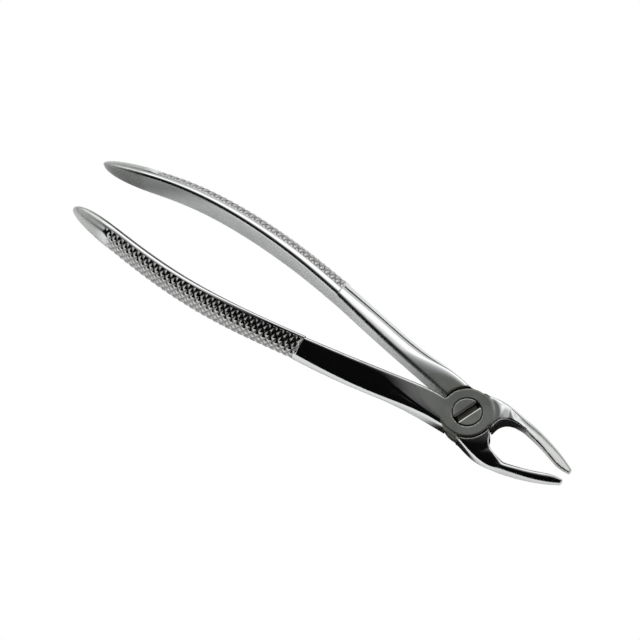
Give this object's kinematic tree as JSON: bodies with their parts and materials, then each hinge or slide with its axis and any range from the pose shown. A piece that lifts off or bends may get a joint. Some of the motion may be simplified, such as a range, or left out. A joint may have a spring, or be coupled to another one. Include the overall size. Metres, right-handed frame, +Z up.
{
  "type": "extraction forceps",
  "caption": "Dental extraction forceps: crossing steel halves lapped on a slotted screw, with bowed chequered handles and slim hollow beaks.",
  "frame": {"origin": "centre of the forceps in plan, on the surface that it lies on", "axes": "+X along the forceps from the handle ends to the beak tips, +Y across it to the rear half's handle, +Z up through the slotted screw head"},
  "size_m": [0.1792, 0.0366, 0.0131],
  "materials": {
    "polished_steel": "mirror polished stainless steel, satin on the flats of the joint",
    "screw_steel": "fine satin steel with a turned face"
  },
  "bodies": {
    "rear": {"rear_half": "polished_steel", "joint_screw": "screw_steel"},
    "front": {"front_half": "polished_steel"}
  },
  "joints": [
    {"name": "pivot", "type": "hinge", "parent": "rear", "child": "front", "pos_m": [0.05455, -0.00181, 0.00653], "axis": [0, 0, 1], "range_deg": [-3, 22]}
  ]
}
